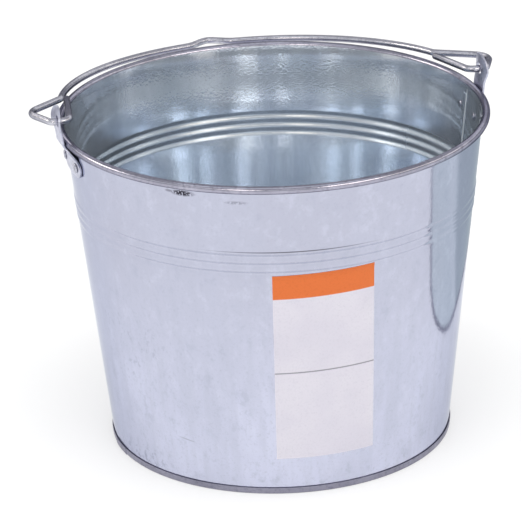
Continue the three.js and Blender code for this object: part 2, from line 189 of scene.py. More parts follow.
# ---- finishes ----
class Wire:
    """A socket that a finish's nodes give out, on which sums can be written."""

    def __init__(self, finish, socket):
        self.finish = finish
        self.socket = socket

    def sum(self, operation, *values):
        sockets = {i: value for i, value in enumerate(values)}
        return self.finish.node("ShaderNodeMath", {"operation": operation}, sockets)

    def __add__(self, other):
        return self.sum("ADD", self, other)

    def __radd__(self, other):
        return self.sum("ADD", other, self)

    def __sub__(self, other):
        return self.sum("SUBTRACT", self, other)

    def __rsub__(self, other):
        return self.sum("SUBTRACT", other, self)

    def __mul__(self, other):
        return self.sum("MULTIPLY", self, other)

    def __rmul__(self, other):
        return self.sum("MULTIPLY", other, self)

    def __truediv__(self, other):
        return self.sum("DIVIDE", self, other)

    def __rtruediv__(self, other):
        return self.sum("DIVIDE", other, self)

    def __pow__(self, other):
        return self.sum("POWER", self, other)

    def larger(self, other):
        return self.sum("MAXIMUM", self, other)


class Finish:
    """A material, or the world, and the nodes that are wired up for it."""

    def __init__(self, name, owner=None):
        self.material = owner or bpy.data.materials.new(name)
        self.material.use_nodes = True
        self.tree = self.material.node_tree
        self.tree.nodes.clear()

    def node(self, kind, settings=None, sockets=None, out=0):
        """Adds a node and gives its output. An input is a plain value or a Wire to link."""
        made = self.tree.nodes.new(kind)
        for name, value in (settings or {}).items():
            if name == "stops":
                self.set_stops(made.color_ramp, value)
            else:
                setattr(made, name, value)
        for name, value in (sockets or {}).items():
            if isinstance(value, Wire):
                self.tree.links.new(value.socket, made.inputs[name])
            else:
                made.inputs[name].default_value = value
        return Wire(self, made.outputs[out]) if made.outputs else None

    def set_stops(self, ramp, stops):
        while len(ramp.elements) > 1:
            ramp.elements.remove(ramp.elements[-1])
        ramp.elements[0].position, ramp.elements[0].color = stops[0]
        for position, colour in stops[1:]:
            ramp.elements.new(position).color = colour

    def place(self):
        return self.node("ShaderNodeTexCoord", out="Object")

    def axes(self):
        """Object coordinates in millimetres, one value to an axis."""
        split = self.node("ShaderNodeSeparateXYZ", sockets={0: self.place()})
        parts = [Wire(self, socket) for socket in split.socket.node.outputs]
        return [part / MM for part in parts]

    def round_about(self, x, y):
        """Degrees round the pail from its front, towards the right ear."""
        return x.sum("ARCTAN2", x, 0 - y) * (180 / pi)

    def cloud(self, scale, detail=2.0, roughness=0.5, shift=(0, 0, 0)):
        """Noise from 0 to 1, its scale in patches to a metre along each axis."""
        along = self.node(
            "ShaderNodeMapping", sockets={"Vector": self.place(), "Location": shift, "Scale": scale}
        )
        sockets = {"Vector": along, "Scale": 1.0, "Detail": detail, "Roughness": roughness}
        return self.node("ShaderNodeTexNoise", {"noise_dimensions": "3D"}, sockets)

    def ramp(self, value, low, high):
        """0 below low and 1 above high, with a smooth step between."""
        sockets = {"Value": value, "From Min": low, "From Max": high}
        return self.node("ShaderNodeMapRange", {"interpolation_type": "SMOOTHSTEP"}, sockets)

    def band(self, value, low, high, edge):
        """1 between low and high, with soft edges."""
        return self.ramp(value, low - edge, low + edge) - self.ramp(value, high - edge, high + edge)

    def blend(self, mask, a, b):
        """Colour a where the mask is 0 and b where it is 1. A mix node's colours are its inputs 6
        and 7 and its output 2."""
        settings = {"data_type": "RGBA", "clamp_factor": True}
        return self.node("ShaderNodeMix", settings, {0: mask, 6: a, 7: b}, out=2)

    def spot(self, turn, z, at, size, edge=0.5):
        """1 inside an upright ellipse on the wall at (degrees, height), its half axes in
        millimetres."""
        across = (turn - at[0]) * (radians(1) * wall_middle(at[1]))
        up = z - at[1]
        far = ((across / size[0]) ** 2 + (up / size[1]) ** 2) ** 0.5
        return 1 - self.ramp(far, 1 - edge, 1 + edge)

    def shade(self, sockets, bumps):
        """The finished material. Each bump is (height, strength, distance in metres)."""
        normal = None
        for height, strength, distance in bumps:
            inputs = {"Height": height, "Strength": strength, "Distance": distance}
            if normal:
                inputs["Normal"] = normal
            normal = self.node("ShaderNodeBump", sockets=inputs)
        sockets["Normal"] = normal
        surface = self.node("ShaderNodeBsdfPrincipled", sockets=sockets)
        self.node("ShaderNodeOutputMaterial", sockets={"Surface": surface})
        return self.material


def tone(red, green, blue):
    """A colour as seen on a screen, 0 to 255, as the shader's linear colour."""
    parts = []
    for part in (red, green, blue):
        share = part / 255
        parts.append(share / 12.92 if share <= 0.04045 else ((share + 0.055) / 1.055) ** 2.4)
    return (*parts, 1.0)


# How the metal reflects where it is seen nearly edge on
SHEET_EDGE = (0.74, 0.76, 0.82, 1)
DARK_EDGE = (0.2, 0.2, 0.24, 1)

# Marks on the outside, and painted shade: the middle as (degrees round the pail, height), then the
# half axes
DARK_MARK = (-41.3, 226.8), (7.2, 1.9)
SMALL_MARK = (-45.4, 227.3), (2.2, 0.9)
FAINT_MARK = (-26.6, 222.9), (6.5, 1.1)
# Painted shade along the top rib's edge
TOP_RIB_SHADE = (-11.5, 186.2), (44, 0.42)
SCRATCH = (-48, 36), (6, 0.5)
SCRATCH_SLOPE = 0.3
WORN_SIDE = (-66, 90), (48, 34)
WORN_FOOT = (-70, 9), (26, 9)

# Degrees round the pail and heights of the painted highlight on the side seam's edge, inside, and
# the degrees between which painted shade darkens the sheet beside it
SEAM_HIGHLIGHT = (91.8, 92.25)
SEAM_HIGHLIGHT_HEIGHTS = (120, 231)
SHADE_BESIDE_SEAM = (52, 90)

# How much rougher the ribs are on the inside, and how much is added towards the front, where Y
# falls between these two values
RIBS_ROUGHER = 0.12
RIBS_ROUGHER_FRONT = 0.22
RIBS_FRONT_STEP = (100, 20)


def sheet_outside():
    f = Finish("galvanized_outside")
    x, y, z = f.axes()
    turn = f.round_about(x, y)
    cloud = f.cloud((17, 17, 11), detail=4, roughness=0.6)
    mottle = f.cloud((95, 95, 70), detail=5, roughness=0.7, shift=(3, 0, 0))
    grain = f.cloud((520, 520, 520), detail=2)
    drawn = f.cloud((150, 150, 7), detail=3)

    colour = f.blend(f.ramp(z, 40, 185), tone(207, 210, 229), tone(188, 190, 207))
    colour = f.blend(f.ramp(cloud, 0.38, 0.62) * 0.55, colour, tone(193, 196, 214))
    colour = f.blend(f.ramp(mottle, 0.50, 0.70) * 0.3, colour, tone(214, 217, 234))
    colour = f.blend(f.ramp(mottle, 0.46, 0.30) * 0.55, colour, tone(180, 184, 202))
    colour = f.blend(f.ramp(drawn, 0.45, 0.7) * 0.3, colour, tone(187, 190, 207))
    colour = f.blend(f.ramp(grain, 0.5, 0.8) * 0.35, colour, tone(176, 180, 198))

    # Dark marks under the rim, painted shade along the top rib's edge, and a scratch
    smudge = f.cloud((700, 700, 700), detail=3, shift=(5, 1, 0))
    flecks = f.ramp(smudge, 0.40, 0.48)
    dark = f.spot(turn, z, *DARK_MARK) * flecks
    dark = dark + f.spot(turn, z, *SMALL_MARK) * 0.45
    faint = f.spot(turn, z, *FAINT_MARK) * flecks * 0.35
    line = f.spot(turn, z, *TOP_RIB_SHADE, edge=0.7) * 0.75
    slanted = z + (turn - SCRATCH[0][0]) * SCRATCH_SLOPE
    scratch = f.spot(turn, slanted, *SCRATCH) * 0.25
    colour = f.blend(dark + faint + line + scratch, colour, tone(58, 56, 66))

    # Rubbed patches, low on the left
    scuffs = f.cloud((260, 260, 170), detail=5, roughness=0.75, shift=(0, 4, 0))
    worn = f.spot(turn, z, *WORN_SIDE, edge=0.9) * f.ramp(scuffs, 0.54, 0.66) * 0.35
    worn = worn + f.spot(turn, z, *WORN_FOOT, edge=0.8) * f.ramp(scuffs, 0.5, 0.6) * 0.6
    colour = f.blend(worn, colour, tone(150, 154, 176))

    rough = 0.05 + f.ramp(cloud, 0.35, 0.65) * 0.03 + mottle * 0.04 + grain * 0.02
    return f.shade(
        {"Base Color": colour, "Metallic": 1.0, "Roughness": rough, "Specular Tint": SHEET_EDGE},
        [(cloud, 0.15, 0.0012), (mottle, 0.10, 0.0005), (grain, 0.10, 0.00015)],
    )


def sheet_inside():
    f = Finish("galvanized_inside")
    x, y, z = f.axes()
    turn = f.round_about(x, y)
    cloud = f.cloud((17, 17, 11), detail=3, shift=(0, 0, 5))
    mottle = f.cloud((70, 70, 40), detail=4, roughness=0.65, shift=(1, 0, 0))
    grain = f.cloud((560, 560, 560), detail=2)
    drawn = f.cloud((75, 75, 4), detail=4, roughness=0.6)

    # The inside's colours are paler than the outside's: painted light that brightens the dim inside
    # of the pail
    colour = f.blend(f.ramp(drawn, 0.35, 0.65), tone(214, 220, 229), tone(228, 233, 240))
    colour = f.blend(f.ramp(cloud, 0.4, 0.65) * 0.4, colour, tone(206, 216, 224))
    colour = f.blend(f.ramp(mottle, 0.52, 0.72) * 0.35, colour, tone(232, 238, 246))
    colour = f.blend(f.ramp(grain, 0.5, 0.8) * 0.4, colour, tone(200, 208, 218))

    # Painted shade: a little darker beside the seam, and over the ribs, which are also dullest at
    # the front
    colour = f.blend(f.band(turn, *SHADE_BESIDE_SEAM, edge=14) * 0.5, colour, tone(190, 198, 206))
    ribs = f.band(z, RIB_BOTTOM, RIB_TOP, edge=1.5)
    colour = f.blend(ribs, colour, tone(204, 211, 218))

    # Painted highlight: a thin pale, less metallic line where the side seam's edge catches the
    # light
    seam = f.band(turn, *SEAM_HIGHLIGHT, edge=0.15) * f.band(z, *SEAM_HIGHLIGHT_HEIGHTS, edge=1)
    colour = f.blend(seam, colour, tone(226, 231, 237))
    metal = 0.9 - seam * 0.4

    dull_ribs = ribs * (RIBS_ROUGHER + f.ramp(y, *RIBS_FRONT_STEP) * RIBS_ROUGHER_FRONT)
    rough = 0.06 + (drawn - 0.5) * 0.04 + grain * 0.03 + dull_ribs
    return f.shade(
        {"Base Color": colour, "Metallic": metal, "Roughness": rough},
        [(drawn, 0.03, 0.0012), (mottle, 0.03, 0.0006), (grain, 0.22, 0.0002)],
    )


def rim_finish():
    f = Finish("wired_rim")
    grain = f.cloud((420, 420, 420), detail=3)
    cloud = f.cloud((45, 45, 45), detail=3)
    colour = f.blend(f.ramp(cloud, 0.35, 0.65), tone(168, 167, 182), tone(182, 181, 196))
    colour = f.blend(f.ramp(grain, 0.48, 0.75) * 0.6, colour, tone(138, 137, 152))
    rough = 0.14 + cloud * 0.06 + grain * 0.06
    return f.shade(
        {"Base Color": colour, "Metallic": 1.0, "Roughness": rough, "Specular Tint": DARK_EDGE},
        [(grain, 0.2, 0.0002)],
    )


def wire_finish():
    f = Finish("galvanized_wire")
    grain = f.cloud((380, 380, 380), detail=3)
    cloud = f.cloud((60, 60, 60), detail=3)
    colour = f.blend(f.ramp(cloud, 0.3, 0.7), tone(192, 192, 202), tone(208, 208, 217))
    colour = f.blend(f.ramp(grain, 0.48, 0.75) * 0.6, colour, tone(164, 164, 174))
    rough = 0.16 + cloud * 0.08 + grain * 0.08
    return f.shade(
        {"Base Color": colour, "Metallic": 1.0, "Roughness": rough, "Specular Tint": DARK_EDGE},
        [(grain, 0.2, 0.0003)],
    )


def foot_finish():
    f = Finish("galvanized_foot")
    grain = f.cloud((420, 420, 420), detail=3)
    cloud = f.cloud((40, 40, 40), detail=3)
    colour = f.blend(f.ramp(cloud, 0.3, 0.7), tone(142, 141, 157), tone(156, 155, 171))
    colour = f.blend(f.ramp(grain, 0.48, 0.75) * 0.6, colour, tone(118, 117, 133))
    rough = 0.34 + cloud * 0.1 + grain * 0.08
    return f.shade(
        {"Base Color": colour, "Metallic": 0.9, "Roughness": rough}, [(grain, 0.2, 0.0003)]
    )


def ear_finish():
    f = Finish("galvanized_ear")
    grain = f.cloud((420, 420, 420), detail=3)
    cloud = f.cloud((95, 95, 95), detail=3)
    colour = f.blend(f.ramp(cloud, 0.3, 0.7), tone(186, 188, 204), tone(208, 210, 226))
    colour = f.blend(f.ramp(grain, 0.48, 0.75) * 0.6, colour, tone(160, 162, 176))
    rough = 0.28 + cloud * 0.1 + grain * 0.08
    return f.shade(
        {"Base Color": colour, "Metallic": 1.0, "Roughness": rough},
        [(cloud, 0.2, 0.0008), (grain, 0.2, 0.0003)],
    )


def rivet_finish():
    f = Finish("rivet_steel")
    grain = f.cloud((420, 420, 420), detail=2)
    colour = f.blend(f.ramp(grain, 0.4, 0.7), tone(196, 197, 209), tone(150, 151, 165))
    rough = 0.18 + grain * 0.12
    return f.shade(
        {"Base Color": colour, "Metallic": 1.0, "Roughness": rough}, [(grain, 0.3, 0.0002)]
    )


# Shares of the sticker's height: where its coloured header starts, and its ruled line
STICKER_HEADER = (0.872, 0.876)
STICKER_LINE = (0.4695, 0.4755)


def sticker_finish():
    f = Finish("sticker_paper")
    along = f.node("ShaderNodeUVMap", {"uv_map": "sticker"})
    split = f.node("ShaderNodeSeparateXYZ", sockets={0: along})
    across, up = (Wire(f, split.socket.node.outputs[i]) for i in (0, 1))
    header = f.ramp(up, *STICKER_HEADER)
    line = f.band(up, *STICKER_LINE, edge=0.0015) * f.band(across, 0.0, 1.0, edge=0.01)
    grain = f.cloud((700, 700, 700), detail=3)
    cloud = f.cloud((30, 30, 30), detail=2)
    paper = f.blend(f.ramp(cloud, 0.3, 0.7), tone(245, 241, 251), tone(239, 235, 247))
    paper = f.blend(f.ramp(grain, 0.45, 0.75) * 0.5, paper, tone(230, 226, 238))
    ink = f.blend(f.ramp(grain, 0.45, 0.75) * 0.5, tone(247, 126, 58), tone(236, 116, 50))
    ruled = f.blend(line * 0.8, paper, tone(120, 118, 130))
    colour = f.blend(header, ruled, ink)
    return f.shade(
        {"Base Color": colour, "Roughness": 0.42 + grain * 0.1, "IOR": 1.45}, [(grain, 0.1, 0.0002)]
    )


OUTSIDE = sheet_outside()
INSIDE = sheet_inside()
RIM = rim_finish()
WIRE = wire_finish()
FOOT = foot_finish()
EAR = ear_finish()
RIVET = rivet_finish()
STICKER = sticker_finish()


# ---- making pieces ----
# Faces that meet at less than SMOOTH_ANGLE are shaded as one curve, and edges sharper than
# SHARP_ANGLE are rounded.
SMOOTH_ANGLE = radians(35)
SHARP_ANGLE = radians(40)


def deselect():
    if bpy.context.object and bpy.context.object.mode != "OBJECT":
        bpy.ops.object.mode_set(mode="OBJECT")
    bpy.ops.object.select_all(action="DESELECT")


def choose(piece):
    deselect()
    piece.select_set(True)
    bpy.context.view_layer.objects.active = piece


def outline_bend(corners, step):
    """A line through corners (point, radius), each rounded with its own radius. The ends stay
    sharp."""
    line = [corners[0][0].copy()]
    for (before, _), (at, radius), (after, _) in zip(corners, corners[1:], corners[2:]):
        into = (at - before).normalized()
        out = (after - at).normalized()
        turn = acos(max(-1.0, min(1.0, into.dot(out))))
        start = at - into * radius * tan(turn / 2)
        inward = (out - into * into.dot(out)).normalized()
        centre = start + inward * radius
        steps = max(2, ceil(turn / step))
        for k in range(steps + 1):
            angle = turn * k / steps
            line.append(centre + into * radius * sin(angle) - inward * radius * cos(angle))
    line.append(corners[-1][0].copy())
    return line


def turned(name, rows, segments, first_pole=False, last_pole=False):
    """A skin turned from rows of (radius, height): a ring is added at the first row and pulled
    out row by row. A pole closes the ring at that end."""
    deselect()
    radius, height = rows[0]
    bpy.ops.mesh.primitive_circle_add(
        vertices=segments, radius=radius * MM, location=(0, 0, height * MM)
    )
    piece = bpy.context.object
    piece.name = name
    bpy.ops.object.transform_apply(location=True, rotation=True, scale=True)
    bpy.ops.object.mode_set(mode="EDIT")
    bpy.ops.mesh.select_all(action="SELECT")
    if first_pole:
        bpy.ops.mesh.extrude_edges_move(TRANSFORM_OT_translate={"value": (0, 0, 0)})
        bpy.ops.mesh.merge(type="CENTER")
        bpy.ops.mesh.select_all(action="DESELECT")
        bpy.ops.object.mode_set(mode="OBJECT")
        for vertex in piece.data.vertices:
            vertex.select = hypot(vertex.co.x, vertex.co.y) > radius * MM / 2
        for edge in piece.data.edges:
            edge.select = all(piece.data.vertices[i].select for i in edge.vertices)
        bpy.ops.object.mode_set(mode="EDIT")
        bpy.ops.mesh.select_mode(type="EDGE")
    for (r0, z0), (r1, z1) in zip(rows, rows[1:]):
        bpy.ops.mesh.extrude_edges_move(TRANSFORM_OT_translate={"value": (0, 0, (z1 - z0) * MM)})
        share = r1 / r0
        bpy.ops.transform.resize(value=(share, share, 1), center_override=(0, 0, z1 * MM))
    if last_pole:
        bpy.ops.mesh.extrude_edges_move(TRANSFORM_OT_translate={"value": (0, 0, 0)})
        bpy.ops.mesh.merge(type="CENTER")
    bpy.ops.mesh.select_all(action="SELECT")
    bpy.ops.mesh.normals_make_consistent(inside=False)
    bpy.ops.object.mode_set(mode="OBJECT")
    return piece


def face_out(piece, outward):
    """Turns an open skin over if its first face doesn't look along outward(centre)."""
    face = piece.data.polygons[0]
    if face.normal.dot(outward(face.center)) < 0:
        choose(piece)
        bpy.ops.object.mode_set(mode="EDIT")
        bpy.ops.mesh.select_all(action="SELECT")
        bpy.ops.mesh.flip_normals()
        bpy.ops.object.mode_set(mode="OBJECT")


def coat(piece, *materials):
    for material in materials:
        piece.data.materials.append(material)


def thicken(piece, thickness, offset=0.0, inside_slot=0):
    """Makes a skin a sheet: about its middle, or outwards where the offset is 1."""
    choose(piece)
    bpy.ops.object.modifier_add(type="SOLIDIFY")
    wall = piece.modifiers[-1]
    wall.thickness = thickness * MM
    wall.offset = offset
    wall.use_even_offset = True
    wall.use_quality_normals = True
    wall.material_offset = inside_slot
    bpy.ops.object.modifier_apply(modifier=wall.name)


def soften(piece, width, segments, angle=SHARP_ANGLE):
    """Rounds the edges that turn by more than the angle."""
    choose(piece)
    bpy.ops.object.modifier_add(type="BEVEL")
    edge = piece.modifiers[-1]
    edge.width = width * MM
    edge.segments = segments
    edge.limit_method = "ANGLE"
    edge.angle_limit = angle
    edge.use_clamp_overlap = False
    bpy.ops.object.modifier_apply(modifier=edge.name)


def finish_piece(piece, body, slot_name, nodes, *materials):
    """Shades and coats a piece, says which body it rides and hides the nodes it replaces. Its slot
    name is not used."""
    choose(piece)
    bpy.ops.object.shade_smooth_by_angle(angle=SMOOTH_ANGLE)
    coat(piece, *materials)
    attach(piece, body)
    if nodes:
        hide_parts(*nodes)


# ---- floor, world and lamps ----
WHITE = (1, 1, 1, 1)
FLOOR_SIZE = 24
FLOOR_COLOUR = (0.5, 0.5, 0.5, 1)
FLOOR_GLOW = 0.46
WORLD_LIGHT = 1.0

# The walls' rows of (radius, height), and their colours at shares of the height
WALLS_SEGMENTS = 96
WALLS_ROWS = (
    (900.0, 4.0), (6000.0, 8.0), (6000.0, 5000.0), (3500.0, 8000.0), (1200.0, 8600.0),
)
WALLS_STOPS = (
    (0.0, (0.92, 0.93, 0.95, 1)), (0.085, (0.92, 0.93, 0.95, 1)), (0.12, (0.34, 0.35, 0.35, 1)),
    (0.223, (0.34, 0.35, 0.35, 1)), (0.27, (1.22, 1.22, 1.22, 1)), (0.41, (1.22, 1.22, 1.22, 1)),
    (0.50, (0.50, 0.50, 0.52, 1)), (1.0, (0.46, 0.46, 0.48, 1)),
)

# The grey card on the paper, its outline and where its stripes fan out from, seen from above.
# A pale and a dark stripe each lie between two directions, in degrees.
FAN_AT = (200.0, 60.0)
FAN_PALE = (-16, -4)
FAN_DARK = (0, 90)
CARD_RISE = 2.0
CARD_COLOUR = (0.83, 0.90, 0.91, 1)
CARD_STRIPE = (0.88, 0.94, 0.95, 1)
CARD_DARK = (0.60, 0.67, 0.69, 1)
CARD_EDGE = (0.30, 0.30, 0.36, 1)
CARD_EDGE_WIDTH = 9.0
CARD_OUTLINE = (
    (860, -345), (467, -164), (381, -126), (345, -114), (310, -103), (275, -82), (258, -62),
    (247, -42), (242, -20), (242, 5), (248, 35), (254, 62), (260, 90), (265, 118), (268, 150),
    (268, 190), (266, 240), (272, 290), (300, 360), (360, 460), (600, 800), (900, 700),
)

# The lamp, in metres: name, azimuth, elevation, distance, width, height, radiance
LAMP_AIM = Vector((0, 0, 0.15))
OVERHEAD = ("overhead", -16, 74, 2.4, 1.2, 1.0, 6.0)

# Cards stand LIGHT_DISTANCE metres away. Over the heights of LIGHT_STEP, in millimetres, they
# grow from LIGHT_LOW of their radiance to LIGHT_LOW + LIGHT_GAIN.
LIGHT_AIM = Vector((0, 0, 0.2))
LIGHT_DISTANCE = 2.0
LIGHT_STEP = (850, 1050)
LIGHT_LOW = 0.34
LIGHT_GAIN = 2.2
WARM = (1.0, 0.93, 0.84, 1)
COOL = (0.95, 0.97, 1.0, 1)

# name, azimuth, elevation, width, height, radiance, colour
LIGHT_CARDS = (
    ("card_front_left", -34, 19, 14, 24, 2.5, WARM),
    ("card_front_right", 25, 19, 30, 24, 2.5, WARM),
    ("card_right", 94, 19, 6, 24, 1.2, WARM),
    ("card_side_right", 62, 24, 34, 14, 0.9, WARM),
    ("card_left", -120, 19, 26, 24, 2.5, WARM),
    ("card_back", -168, 19, 5, 24, 1.4, WARM),
    ("card_over_front", -16, 74, 70, 34, 0.4, COOL),
)


def seen_as_backdrop(f):
    """1 for rays from the camera and for reflected and refracted rays, 0 for scattered light."""
    straight, reflected, refracted = (
        f.node("ShaderNodeLightPath", out=f"Is {kind} Ray")
        for kind in ("Camera", "Glossy", "Transmission")
    )
    return straight.larger(reflected).larger(refracted)


def plain_floor():
    deselect()
    bpy.ops.mesh.primitive_plane_add(size=FLOOR_SIZE)
    floor = bpy.context.object
    floor.name = "floor"
    f = Finish("white_paper")
    lit = f.node("ShaderNodeBsdfDiffuse", sockets={"Color": FLOOR_COLOUR})
    strength = seen_as_backdrop(f) * FLOOR_GLOW
    glow = f.node("ShaderNodeEmission", sockets={"Color": WHITE, "Strength": strength})
    both = f.node("ShaderNodeAddShader", sockets={0: lit, 1: glow})
    f.node("ShaderNodeOutputMaterial", sockets={"Surface": both})
    floor.data.materials.append(f.material)


def plain_world():
    world = bpy.data.worlds.new("studio")
    bpy.context.scene.world = world
    f = Finish("studio", world)
    back = f.node("ShaderNodeBackground", sockets={"Color": WHITE, "Strength": WORLD_LIGHT})
    f.node("ShaderNodeOutputWorld", sockets={"Surface": back})


def only_reflected(thing):
    """Staging that the metal reflects, but that neither the camera sees nor the light meets."""
    for ray in ("camera", "diffuse", "transmission", "volume_scatter", "shadow"):
        setattr(thing, f"visible_{ray}", False)


def dim_walls():
    """The studio round the paper on which the pail stands: dim walls, pale at the foot and in a
    band half way up, which lean in above it and leave the middle open."""
    f = Finish("studio_walls")
    _, _, z = f.axes()
    colour = f.node("ShaderNodeValToRGB", {"stops": WALLS_STOPS}, {0: z / WALLS_ROWS[-1][1]})
    glow = f.node("ShaderNodeEmission", sockets={"Color": colour, "Strength": 1.0})
    f.node("ShaderNodeOutputMaterial", sockets={"Surface": glow})
    walls = turned("studio_walls", WALLS_ROWS, WALLS_SEGMENTS)
    walls.data.materials.append(f.material)
    only_reflected(walls)


def side_card():
    """A grey card on the paper, right of the pail, with a pale and a dark stripe that fan out over
    it and a dark edge."""
    f = Finish("side_card")
    x, y, _ = f.axes()
    fan = (x - FAN_AT[0]).sum("ARCTAN2", y - FAN_AT[1], x - FAN_AT[0]) * (180 / pi)
    colour = f.blend(f.band(fan, *FAN_PALE, edge=3), CARD_COLOUR, CARD_STRIPE)
    colour = f.blend(f.band(fan, *FAN_DARK, edge=4), colour, CARD_DARK)
    edge = Finish("side_card_edge")
    for finish, tint in ((f, colour), (edge, CARD_EDGE)):
        glow = finish.node("ShaderNodeEmission", sockets={"Color": tint, "Strength": 1.0})
        finish.node("ShaderNodeOutputMaterial", sockets={"Surface": glow})
    mesh = bpy.data.meshes.new("side_card")
    outline = [(across * MM, along * MM, CARD_RISE * MM) for across, along in CARD_OUTLINE]
    mesh.from_pydata(outline, [], [range(len(outline))])
    card = bpy.data.objects.new("side_card", mesh)
    bpy.context.scene.collection.objects.link(card)
    coat(card, edge.material, f.material)
    choose(card)
    bpy.ops.object.mode_set(mode="EDIT")
    bpy.ops.mesh.select_all(action="SELECT")
    bpy.ops.mesh.inset(thickness=CARD_EDGE_WIDTH * MM)
    bpy.ops.object.mode_set(mode="OBJECT")
    for face in card.data.polygons:
        face.material_index = 1 if face.select else 0
    only_reflected(card)


def away_at(azimuth, elevation):
    """A direction, seen from the pail, in degrees from its front and from the level."""
    a, e = radians(azimuth), radians(elevation)
    return Vector((sin(a) * cos(e), -cos(a) * cos(e), sin(e)))


def light_card(name, azimuth, elevation, width, height, radiance, colour):
    """A bright card that only the metal reflects, brighter in its upper half. Seen from the pail,
    its middle and its size are in degrees."""
    f = Finish(name)
    _, _, z = f.axes()
    strength = radiance * (LIGHT_LOW + f.ramp(z, *LIGHT_STEP) * LIGHT_GAIN)
    glow = f.node("ShaderNodeEmission", sockets={"Color": colour, "Strength": strength})
    f.node("ShaderNodeOutputMaterial", sockets={"Surface": glow})
    deselect()
    bpy.ops.mesh.primitive_plane_add(size=1)
    card = bpy.context.object
    card.name = name
    reach = [2 * LIGHT_DISTANCE * tan(radians(angle) / 2) for angle in (width, height)]
    away = away_at(azimuth, elevation)
    card.data.transform(Matrix.Diagonal((*reach, 1, 1)))
    card.data.transform(away.to_track_quat("Z", "Y").to_matrix().to_4x4())
    card.data.transform(Matrix.Translation(LIGHT_AIM + away * LIGHT_DISTANCE))
    card.data.materials.append(f.material)
    only_reflected(card)


def overhead_lamp(name, azimuth, elevation, distance, width, height, radiance):
    """A lamp seen from the pail at an azimuth and elevation in degrees, its size in metres."""
    data = bpy.data.lights.new(name, "AREA")
    data.shape = "RECTANGLE"
    data.size = width
    data.size_y = height
    data.energy = radiance * pi * width * height
    lamp = bpy.data.objects.new(name, data)
    bpy.context.scene.collection.objects.link(lamp)
    lamp.location = LAMP_AIM + distance * away_at(azimuth, elevation)
    lamp.rotation_mode = "QUATERNION"
    lamp.rotation_quaternion = (LAMP_AIM - lamp.location).to_track_quat("-Z", "Y")
    lamp.visible_camera = False
    lamp.visible_glossy = False


# ---- wall ----
WALL_SEGMENTS = 256
RIB_ROWS = 14
CURL_ROWS = 20
PLAIN_ROWS = 14
TOP_ROWS = 6
SEAM_COLUMNS = 4

# Above this share of the bead's radius below its middle, the wall has the rim's finish
RIM_FINISH_SHARE = 0.9


def wall_rows():
    """The wall's section as (radius, height), from the foot over the ribs and round the curl."""
    rows = []
    for i in range(PLAIN_ROWS):
        z = mix(FOOT_EDGE, RIB_BOTTOM, i / PLAIN_ROWS)
        rows.append((wall_middle(z), z))
    for i in range(RIB_COUNT * RIB_ROWS + 1):
        z = mix(RIB_BOTTOM, RIB_TOP, i / (RIB_COUNT * RIB_ROWS))
        rows.append((wall_middle(z) + rib_swell(z), z))
    curl_start = BEAD.y + CURL_RADIUS * sin(TAPER)
    for i in range(1, TOP_ROWS):
        z = mix(RIB_TOP, curl_start, i / TOP_ROWS)
        rows.append((wall_middle(z), z))
    for i in range(CURL_ROWS + 1):
        angle = pi - TAPER - CURL_SWEEP * i / CURL_ROWS
        rows.append((BEAD.x + CURL_RADIUS * cos(angle), BEAD.y + CURL_RADIUS * sin(angle)))
    return rows


def outward(centre):
    return Vector((centre.x, centre.y, 0))


def make_wall():
    wall = turned("wall_sheet", wall_rows(), WALL_SEGMENTS)
    face_out(wall, outward)
    coat(wall, OUTSIDE, INSIDE, RIM)
    thicken(wall, SHEET, inside_slot=1)
    for face in wall.data.polygons:
        if face.center.z > (BEAD.y - BEAD_RADIUS * RIM_FINISH_SHARE) * MM:
            face.material_index = 2
    finish_piece(wall, "pail", "galvanized_sheet", ["pail_wall"])


def make_seam():
    """The lap of the side seam: a strip of the wall's own rows, laid on its inside."""
    deselect()
    seam = pi / 2 + SEAM_OFFSET / BEAD.x
    top = BEAD.y - SEAM_TOP_DROP
    bottom = PAN_LIFT + SHEET + GAP
    levels = [z for _, z in wall_rows() if bottom < z < top]
    levels = [bottom] + levels + [top]
    bpy.ops.mesh.primitive_grid_add(
        x_subdivisions=SEAM_COLUMNS, y_subdivisions=len(levels) - 1, size=2
    )
    strip = bpy.context.object
    strip.name = "side_seam_lap"
    for vertex in strip.data.vertices:
        level = round((vertex.co.y + 1) / 2 * (len(levels) - 1))
        z = levels[level]
        radius = wall_inner(z) + rib_swell(z)
        azimuth = seam + vertex.co.x * SEAM_WIDTH / 2 / radius
        vertex.co = Vector((radius * sin(azimuth), -radius * cos(azimuth), z)) * MM
    face_out(strip, lambda centre: -outward(centre))
    thicken(strip, SEAM_RISE, offset=1.0)
    finish_piece(strip, "pail", "galvanized_sheet", [], INSIDE)


# ---- pan and foot ----
PAN_SEGMENTS = 192
PAN_BEND_STEP = radians(12)
PANEL_RINGS = (8, 30, 60)
PANEL_BEND = 2
FLANGE_BEND = 1.2

FOOT_SEGMENTS = 256
FOOT_BEND = 0.6
FOOT_BEND_STEP = radians(18)
FOOT_ROUNDING = 0.15

# The lap of the foot band: where it starts and ends round the pail, how proud it stands, and
# the least share by which a face looks outwards to be part of it
FOOT_LAP = (radians(-92), radians(-82))
FOOT_LAP_RISE = 0.4
FACES_OUT = 0.5


def flange_middle(z):
    return wall_inner(z) - GAP - SHEET / 2


def make_pan():
    panel = PANEL_LIFT + SHEET / 2
    border = PAN_LIFT + SHEET / 2
    corners = [
        (Vector((PANEL_RINGS[0], panel)), 0),
        (Vector((PANEL_RADIUS, panel)), PANEL_BEND),
        (Vector((PANEL_RADIUS + PANEL_STEP, border)), PANEL_BEND),
        (Vector((flange_middle(border), border)), FLANGE_BEND),
        (Vector((flange_middle(FOOT_EDGE), FOOT_EDGE)), 0),
    ]
    line = outline_bend(corners, PAN_BEND_STEP)
    rows = [(r, panel) for r in PANEL_RINGS] + [tuple(point) for point in line[1:]]
    pan = turned("bottom_pan_sheet", rows, PAN_SEGMENTS, first_pole=True)
    face_out(pan, lambda centre: Vector((0, 0, 1)))
    coat(pan, INSIDE, OUTSIDE)
    thicken(pan, SHEET, inside_slot=1)
    finish_piece(pan, "pail", "galvanized_sheet", ["bottom_pan"])


